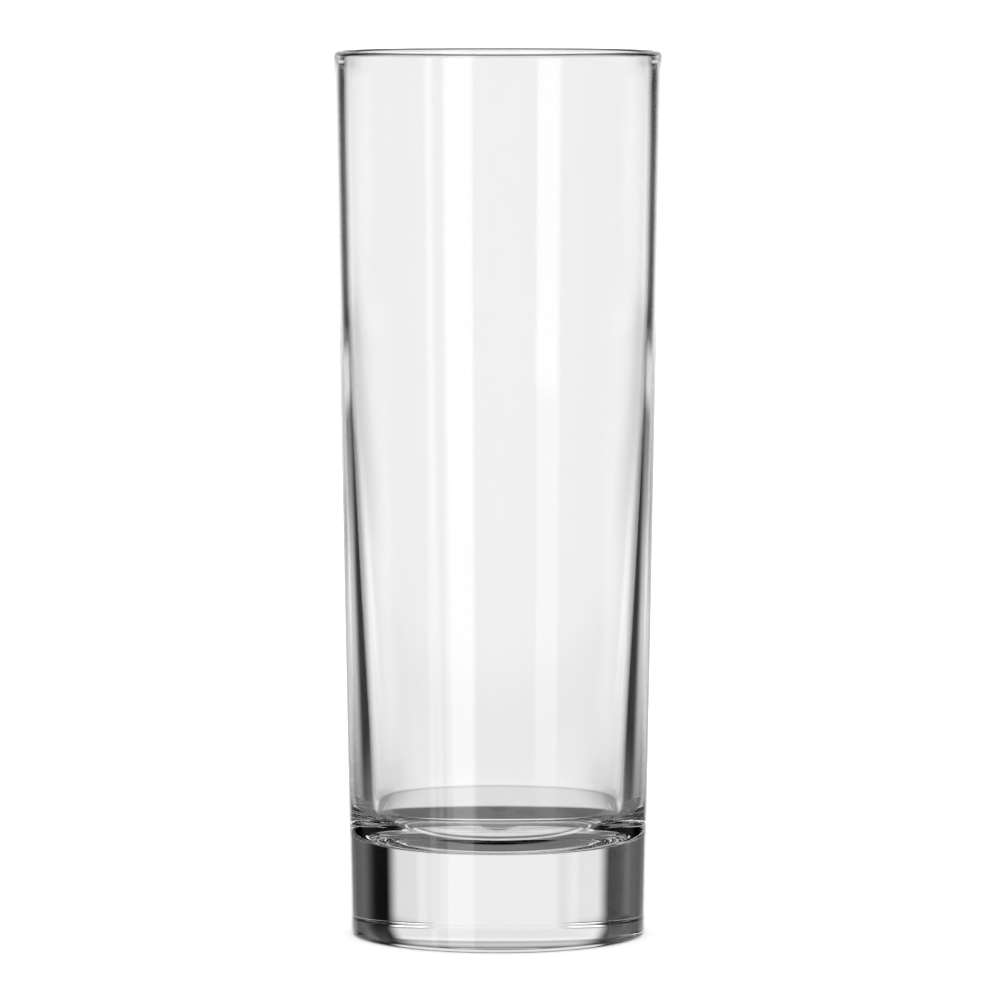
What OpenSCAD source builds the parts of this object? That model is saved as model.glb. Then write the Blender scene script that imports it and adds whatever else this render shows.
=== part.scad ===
// Highball glass: a tall, slim, straight-sided tumbler with a thick solid base.
// The real one is a single piece of clear glass, so it is one turned solid here.
// The foot rests on the plane z = 0, and the glass stands on the Z axis.

/* [Outside] */
// Height from the table to the top of the lip
glass_h = 162; // [130:1:190]
// Widest outside diameter, at the lip
mouth_d = 59.8; // [54:0.2:66]
// Outside diameter where the line of the wall would meet the table
foot_d = 53.9; // [48:0.1:58]

/* [Wall] */
// Thickness of the fire-rounded lip
lip_wall = 1.75; // [1.2:0.05:2.4]
// Thickness of the wall at its thinnest
thin_wall = 1.65; // [1.1:0.05:2.2]
// Height above which the wall is thin
thin_wall_z = 112; // [80:1:125]
// Thickness of the wall just above the bowl's round corner
low_wall = 4.45; // [3:0.05:6]

/* [Base] */
// Solid glass between the table and the rim of the bowl's floor
base_h = 16.9; // [12:0.1:24]
// Radius of the round corner between the bowl's wall and its floor
corner_r = 7.8; // [5:0.1:14]
// Height of the gentle crown in the middle of the bowl's floor
crown_h = 0.5; // [0.1:0.1:1.5]

/* [Foot] */
// Radius of the heel that turns the wall under into the foot
heel_r = 0.8; // [0.5:0.1:2]
// Width of the flat ring that the glass stands on
ring_w = 1.5; // [1:0.1:4]
// Height of the shallow hollow under the foot
hollow_h = 2; // [0.5:0.1:2.5]

/* [Hidden] */

// How fast the wall thickens downwards: 1 would be a straight inner line
swell_share = 1.35;
// How steeply the hollow rises from the ring: 1 would be a plain parabola
hollow_share = 0.8;
// Height over which the thin wall starts to swell
blend_h = 8;
// Steps along each curved stretch of the section
arc_steps = 20;
// Facets round the axis
$fn = 128;

// Straight outer line of the wall
lip_r = lip_wall / 2;
lip_z = glass_h - lip_r;
outer_rise = (mouth_d - foot_d) / 2 / lip_z;
outer_lean = atan(outer_rise);
function outer_r(z) = foot_d / 2 + outer_rise * z;

// Thickness of the wall at a height, thin above and swelling softly towards the base
corner_z = base_h + corner_r;
function depth(z) = (thin_wall_z - z + sqrt(pow(thin_wall_z - z, 2) + blend_h * blend_h)) / 2;
function swollen(z) = (low_wall - thin_wall) * pow(depth(z) / (thin_wall_z - corner_z), swell_share);
function bead(z) = (lip_wall - thin_wall) * max(0, (z - thin_wall_z) / (lip_z - thin_wall_z));
function inner_r(z) = outer_r(z) - thin_wall - bead(z) - swollen(z);

// Lean of the bowl's wall where it meets the round corner
inner_rise = outer_rise + swell_share * (low_wall - thin_wall) / (thin_wall_z - corner_z);
inner_lean = atan(inner_rise);

// Centres of the heel's arc and the bowl's corner arc, each touching its wall
heel_x = outer_r(heel_r) - heel_r / cos(outer_lean);
corner_x = inner_r(corner_z) - corner_r / cos(inner_lean);
wall_foot_z = corner_z - corner_r * sin(inner_lean);

// Heights down the bowl's wall, between the lip's arc and the corner's arc
wall_steps = 2 * arc_steps;
wall_zs = [for (i = [1:wall_steps - 1]) lip_z + (wall_foot_z - lip_z) * i / wall_steps];

// The hollow under the foot, from its middle at 0 to the ring at 1
hollow_x = heel_x - ring_w;
function hollow_z(share) = hollow_h * pow(1 - share * share, hollow_share);

// The floor of the bowl, from its middle at 0 to the round corner at 1
function floor_z(share) = base_h + crown_h * pow(1 - share * share, 2);

// Points of an arc about (x, z), from one angle to another, both ends included
function arc(x, z, r, from, to) =
    [for (i = [0:arc_steps]) let (a = from + (to - from) * i / arc_steps) [x + r * cos(a), z + r * sin(a)]];

// Outline of one half of the section, anticlockwise from the middle of the foot
function section() = concat(
    [for (i = [0:arc_steps]) let (share = i / arc_steps) [hollow_x * share, hollow_z(share)]],
    arc(heel_x, heel_r, heel_r, -90, -outer_lean),
    arc(outer_r(lip_z) - lip_r, lip_z, lip_r, 0, 180),
    [for (z = wall_zs) [inner_r(z), z]],
    arc(corner_x, corner_z, corner_r, -inner_lean, -90),
    [for (i = [1:arc_steps]) let (share = 1 - i / arc_steps) [corner_x * share, floor_z(share)]]
);

// The whole glass, pressed and fire-rounded in one piece
module tumbler() {
    color("gainsboro", 0.4)
        rotate_extrude()
            polygon(section());
}

tumbler();
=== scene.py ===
import bpy
import numpy as np
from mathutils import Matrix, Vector


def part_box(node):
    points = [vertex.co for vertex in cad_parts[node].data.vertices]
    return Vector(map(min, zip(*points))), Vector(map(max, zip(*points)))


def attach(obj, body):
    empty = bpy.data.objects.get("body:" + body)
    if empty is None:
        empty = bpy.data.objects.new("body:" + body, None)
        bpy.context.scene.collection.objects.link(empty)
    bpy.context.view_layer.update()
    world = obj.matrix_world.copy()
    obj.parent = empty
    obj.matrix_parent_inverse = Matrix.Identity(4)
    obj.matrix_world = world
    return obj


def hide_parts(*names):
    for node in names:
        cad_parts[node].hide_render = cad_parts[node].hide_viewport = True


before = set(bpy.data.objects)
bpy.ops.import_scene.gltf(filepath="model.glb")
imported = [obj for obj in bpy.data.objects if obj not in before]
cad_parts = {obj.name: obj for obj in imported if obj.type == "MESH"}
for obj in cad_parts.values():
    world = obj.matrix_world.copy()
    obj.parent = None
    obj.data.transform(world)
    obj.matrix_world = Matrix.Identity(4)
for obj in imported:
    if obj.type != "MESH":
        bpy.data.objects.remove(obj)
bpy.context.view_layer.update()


# The glass is one piece of clear soda-lime glass, pressed in a mould and then fire-rounded at the lip.
# Its outside is a straight cone and its wall swells downwards to a thick solid base. It stands on a
# narrow flat ring with a shallow hollow inside it.
glass_low, glass_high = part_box("tumbler")
glass_height = glass_high[2] - glass_low[2]
mouth_radius = (glass_high[0] - glass_low[0]) / 2
foot_radius = 0.02695
lip_wall = 0.00175
thin_wall = 0.00165
thin_wall_height = 0.112
low_wall = 0.00445
swell_share = 1.35
blend_height = 0.008
base_height = 0.0169
corner_radius = 0.0078
crown = 0.0005
heel_radius = 0.0008
ring_width = 0.0015
hollow_height = 0.002
hollow_share = 0.8

lip_radius = lip_wall / 2
lip_height = glass_height - lip_radius
outer_rise = (mouth_radius - foot_radius) / lip_height
corner_height = base_height + corner_radius
inner_rise = outer_rise + swell_share * (low_wall - thin_wall) / (thin_wall_height - corner_height)

hollow_points = 40
hollow_crowding = 1.5
ring_points = 5
heel_points = 16
outside_points = 40
lip_points = 24
inside_points = 80
corner_points = 40
floor_points = 20
turn_points = 320


def outer_radius(z):
    """A straight line from the foot's radius to the mouth's."""
    return foot_radius + outer_rise * z


def wall(z):
    """Thin above, with a slight bead at the lip; below, a power of the depth under the thin part, whose
    start is softened: half the sum of the depth and the root of its square plus the blend's square."""
    below = thin_wall_height - z
    depth = (below + np.sqrt(below**2 + blend_height**2)) / 2 / (thin_wall_height - corner_height)
    bead = (lip_wall - thin_wall) * np.clip(-below / (lip_height - thin_wall_height), 0, None)
    return thin_wall + bead + (low_wall - thin_wall) * depth**swell_share


def arc(x, z, radius, start, end, points):
    """From (x, z), the radius times the angle's cosine across and its sine up, between two angles."""
    angle = np.radians(np.linspace(start, end, points))
    return np.column_stack((x + radius * np.cos(angle), z + radius * np.sin(angle)))


def glass_section():
    """Half the section, from the middle of the hollow round the outside, over the lip and down to the
    middle of the floor. The hollow is 1 minus the distance squared, to a power; so is the crown. The
    hollow's points crowd towards the ring, where it is steepest."""
    outer_lean, inner_lean = np.arctan(outer_rise), np.arctan(inner_rise)
    heel_x = outer_radius(heel_radius) - heel_radius / np.cos(outer_lean)
    heel_top = heel_radius * (1 - np.sin(outer_lean))
    hollow_x = heel_x - ring_width
    corner_x = outer_radius(corner_height) - wall(corner_height) - corner_radius / np.cos(inner_lean)
    wall_foot = corner_height - corner_radius * np.sin(inner_lean)
    hollow = 1 - np.linspace(1, 0, hollow_points)**hollow_crowding
    ring = np.linspace(hollow_x, heel_x, ring_points)[1:-1]
    outside = np.linspace(heel_top, lip_height, outside_points)[1:-1]
    inside = np.linspace(lip_height, wall_foot, inside_points)[1:-1]
    floor = np.linspace(1, 0, floor_points)[1:]
    return np.vstack((
        np.column_stack((hollow_x * hollow, hollow_height * (1 - hollow**2)**hollow_share)),
        np.column_stack((ring, 0 * ring)),
        arc(heel_x, heel_radius, heel_radius, -90, -np.degrees(outer_lean), heel_points),
        np.column_stack((outer_radius(outside), outside)),
        arc(outer_radius(lip_height) - lip_radius, lip_height, lip_radius, 0, 180, lip_points),
        np.column_stack((outer_radius(inside) - wall(inside), inside)),
        arc(corner_x, corner_height, corner_radius, -np.degrees(inner_lean), -90, corner_points),
        np.column_stack((corner_x * floor, base_height + crown * (1 - floor**2)**2)),
    ))


def turned_mesh(name, section, around):
    """Revolves a section that starts and ends on the axis: each point's distance from the axis times the
    turn's cosine and sine, with its height kept, and one vertex at each pole."""
    body = section[1:-1]
    rows = len(body)
    turn = np.linspace(0, 2 * np.pi, around, endpoint=False)
    rings = np.stack((body[:, :1] * np.cos(turn), body[:, :1] * np.sin(turn),
                      np.repeat(body[:, 1:], around, axis=1)), axis=-1)
    vertices = np.vstack((rings.reshape(-1, 3), (0, 0, section[0, 1]), (0, 0, section[-1, 1])))
    i, j = np.meshgrid(np.arange(rows - 1), np.arange(around), indexing="ij")
    k = (j + 1) % around
    quads = np.stack((i * around + j, i * around + k, (i + 1) * around + k, (i + 1) * around + j), -1)
    j = np.arange(around)
    k = (j + 1) % around
    last = (rows - 1) * around
    low_fan = np.stack((k, j, np.full(around, rows * around)), -1)
    high_fan = np.stack((last + j, last + k, np.full(around, rows * around + 1)), -1)
    faces = quads.reshape(-1, 4).tolist() + low_fan.tolist() + high_fan.tolist()
    mesh = bpy.data.meshes.new(name)
    mesh.from_pydata(vertices.tolist(), [], faces)
    mesh.polygons.foreach_set("use_smooth", np.ones(len(mesh.polygons), dtype=bool))
    mesh.update()
    return mesh


tumbler = bpy.data.objects.new("tumbler_glass", turned_mesh("tumbler_glass", glass_section(), turn_points))
bpy.context.collection.objects.link(tumbler)
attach(tumbler, "root")
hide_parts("tumbler")


class Value:
    """A shader socket that Python's operators turn into Math nodes."""

    def __init__(self, nodes, socket=None):
        self.nodes, self.socket = nodes, socket

    def node(self, kind, inputs=(), **settings):
        """Adds a node, sets it up, and fills its sockets, by name or place, with values or links."""
        made = self.nodes.nodes.new(kind)
        for name, value in settings.items():
            setattr(made, name, value)
        for key, value in (inputs.items() if isinstance(inputs, dict) else enumerate(inputs)):
            if isinstance(value, Value):
                self.nodes.links.new(value.socket, made.inputs[key])
            else:
                made.inputs[key].default_value = value
        return Value(self.nodes, made.outputs[0])

    def output(self, name):
        """Another output, by name or place, of the node that this one comes from."""
        return Value(self.nodes, self.socket.node.outputs[name])

    def into(self, socket):
        """Links this value to a socket of a node that is there already."""
        self.nodes.links.new(self.socket, socket)

    def maths(self, operation, *values):
        return self.node("ShaderNodeMath", values, operation=operation)

    def __add__(self, other):
        return self.maths("ADD", self, other)

    def __radd__(self, other):
        return self.maths("ADD", other, self)

    def __sub__(self, other):
        return self.maths("SUBTRACT", self, other)

    def __rsub__(self, other):
        return self.maths("SUBTRACT", other, self)

    def __mul__(self, other):
        return self.maths("MULTIPLY", self, other)

    def __rmul__(self, other):
        return self.maths("MULTIPLY", other, self)

    def larger(self, other):
        return self.maths("MAXIMUM", self, other)

    def under(self, limit):
        return self.maths("LESS_THAN", self, limit)

    def over(self, limit):
        return self.maths("GREATER_THAN", self, limit)

    def step(self, low, high):
        """Rises smoothly from 0 at low to 1 at high."""
        return self.node("ShaderNodeMapRange", {"Value": self, "From Min": low, "From Max": high},
                         interpolation_type="SMOOTHSTEP")

    def window(self, low, high, soft):
        """1 between low and high, falling smoothly to 0 across each edge over the width soft."""
        return self.step(low - soft / 2, low + soft / 2) * (1 - self.step(high - soft / 2, high + soft / 2))


# Clear glass bends light by its index, and its own faint grey-green only tells in the thick base. The
# fire polish leaves very slow waves on the surface, and handling leaves it a touch hazier in places.
glass_index = 1.52
glass_tint = (0.58, 0.6, 0.592, 1)
tint_density = 6.0
haze_scale = 45.0
least_clarity = 0.992
clarity_range = 0.012
wave_scale = 70.0
wave_height = 0.00001

glass = bpy.data.materials.new("clear_glass")
glass.use_nodes = True
shader = glass.node_tree.nodes["Principled BSDF"]
shader.inputs["IOR"].default_value = glass_index
shader.inputs["Transmission Weight"].default_value = 1.0
shader.inputs["Roughness"].default_value = 0.0
make = Value(glass.node_tree)
place = make.node("ShaderNodeTexCoord").output("Object")
haze = make.node("ShaderNodeTexNoise", {"Vector": place, "Scale": haze_scale, "Detail": 3.0})
waves = make.node("ShaderNodeTexNoise", {"Vector": place, "Scale": wave_scale, "Detail": 1.0})
clarity = least_clarity + haze * clarity_range
clarity.into(shader.inputs["Base Color"])
polish = make.node("ShaderNodeBump", {"Height": waves, "Distance": wave_height})
polish.into(shader.inputs["Normal"])
tint = make.node("ShaderNodeVolumeAbsorption", {"Color": glass_tint, "Density": tint_density})
tint.into(glass.node_tree.nodes["Material Output"].inputs["Volume"])
tumbler.data.materials.append(glass)


# The floor is a wide plain board with a matt pale coat. Only the camera and its own soft shading see it,
# so the glass shows the studio's lights and not the board.
floor_radius = 4.0
floor_corners = 96
floor_colour = (0.9, 0.9, 0.9, 1)

turn = np.linspace(0, 2 * np.pi, floor_corners, endpoint=False)
floor_edge = np.column_stack((floor_radius * np.cos(turn), floor_radius * np.sin(turn), 0 * turn))
floor_mesh = bpy.data.meshes.new("floor")
floor_mesh.from_pydata(floor_edge.tolist(), [], [list(range(floor_corners))])
floor = bpy.data.objects.new("floor", floor_mesh)
floor.visible_transmission = False
floor.visible_glossy = False
bpy.context.collection.objects.link(floor)
pale = bpy.data.materials.new("pale_floor")
pale.use_nodes = True
shader = pale.node_tree.nodes["Principled BSDF"]
shader.inputs["Base Color"].default_value = floor_colour
shader.inputs["Roughness"].default_value = 1.0
shader.inputs["Specular IOR Level"].default_value = 0.0
floor_mesh.materials.append(pale)


# The camera looks from about 1.3 m away, level with a point a little above the mouth, so the mouth
# closes to a thin line while the foot still shows as a shallow curve.
camera_distance = 1.316
camera_height = 0.1879
aim_point = Vector((0.000375, 0.0, 0.07985))
lens_length = 259.5

camera = bpy.data.objects.new("camera", bpy.data.cameras.new("camera"))
camera.data.lens = lens_length
camera.location = (0.0, -camera_distance, camera_height)
camera.rotation_euler = (aim_point - camera.location).to_track_quat("-Z", "Y").to_euler()
bpy.context.collection.objects.link(camera)
bpy.context.scene.camera = camera


# The studio is a round room with soft lights, drawn by direction in degrees: azimuth runs from straight
# behind the glass, positive to the camera's right, and elevation from the horizon.

# Nearer edge, farther edge and their softness, off the middle plane and on both sides alike, then lower
# edge, upper edge and their softness, then strength. A light from the middle stands across it.
middle = -90
lights = {
    "back panel": (middle, 20, 10, -10.5, 6.5, 5, 1.05),
    "back panel foot": (middle, 12, 16, -29, -10, 3, 0.7),
    "upper panel": (middle, 34, 8, 6.5, 24, 4.5, 0.96),
    "top panel": (middle, 32, 18, 25, 34, 14, 0.9),
    "flank panels": (20.5, 34, 6, -0.5, 5, 1, 1.7),
    "flank strips": (20, 34.5, 7, -7.2, -5.6, 1, 0.9),
    "flank feet": (16.5, 32, 13, -12, -8.8, 5, 0.93),
    "side strips": (39, 77, 24, -4, -2, 1.2, 0.86),
    "side fills": (51, 96, 14, -9, 29, 5, 0.17),
    "low sides": (53, 85, 12, -15, -10.6, 3, 1.1),
    "ceiling": (middle, 156, 12, 49, 100, 7, 0.7),
    "floor glow": (middle, 91, 20, -100, -13.2, 1.5, 0.18),
}
# These tall lamps stand in front of the glass and only show where they glance off its near side, to
# rays that have passed two surfaces at most. Their side edges are azimuths, so each has one side.
lamps = {
    "main strip": (-161.5, -140.5, 3, -60, 60, 10, 1.5),
    "thin strip": (-131.5, -126.5, 3, -60, 60, 10, 1.15),
    "right strip": (134.5, 151.5, 3, -9, 60, 1, 1.4),
}
lamp_surfaces = 2.5

world = bpy.data.worlds.new("studio")
bpy.context.scene.world = world
world.use_nodes = True
make = Value(world.node_tree)
direction = make.node("ShaderNodeSeparateXYZ", [make.node("ShaderNodeTexCoord")])
x, y, z = (direction.output(axis) for axis in "XYZ")
azimuth = x.maths("ARCTAN2", x, y) * (180 / np.pi)
aside = azimuth.maths("ABSOLUTE", azimuth)
elevation = z.maths("ARCSINE", z) * (180 / np.pi)
ray = make.node("ShaderNodeLightPath")
passed = ray.output("Transmission Depth")


def light_sum(table, across):
    """The sum of soft-edged lights, with their side edges measured along the value across."""
    return sum(across.window(near, far, side_soft) * elevation.window(low, high, soft) * strength
               for near, far, side_soft, low, high, soft, strength in table.values())


pattern = light_sum(lights, aside) + light_sum(lamps, azimuth) * passed.under(lamp_surfaces)


# The room round the lights is plain and bright. The camera and the floor see only that, and so does a
# ray that goes straight through the glass where no panel stands behind it, through four surfaces of
# wall, or two of the base, which bends its rays further. So the glass is clear from every side.
room_light = 1.8
clear_light = 1.05
wall_surfaces = 3.5
first_reflection = 0.5

# Angles between which the panels' side, foot or shadow on the floor gives way to the room
panel_sides = (20, 34)
panel_feet = (-14, -12)
panel_shadow = (-58, -50)
wall_sides = (50, 60)
base_sides = (70, 90)

beside = aside.step(*panel_sides)
below = (1 - elevation.step(*panel_feet)) * beside + (1 - elevation.step(*panel_shadow)) * (1 - beside)
past_walls = passed.over(wall_surfaces) * below.larger(aside.step(*wall_sides))
past_base = passed.under(wall_surfaces) * below.larger(aside.step(*base_sides))
straight = ray.output("Glossy Depth").under(first_reflection)
pattern = pattern.larger(straight * (past_walls + past_base) * clear_light)
plain = ray.output("Is Camera Ray") + ray.output("Is Diffuse Ray")
background = world.node_tree.nodes["Background"]
background.inputs["Color"].default_value = (1, 1, 1, 1)
(plain * room_light + (1 - plain) * pattern).into(background.inputs["Strength"])

scene = bpy.context.scene
scene.view_settings.view_transform = "Standard"
scene.cycles.max_bounces = 32
scene.cycles.transmission_bounces = 32
scene.cycles.glossy_bounces = 16
scene.cycles.use_denoising = True
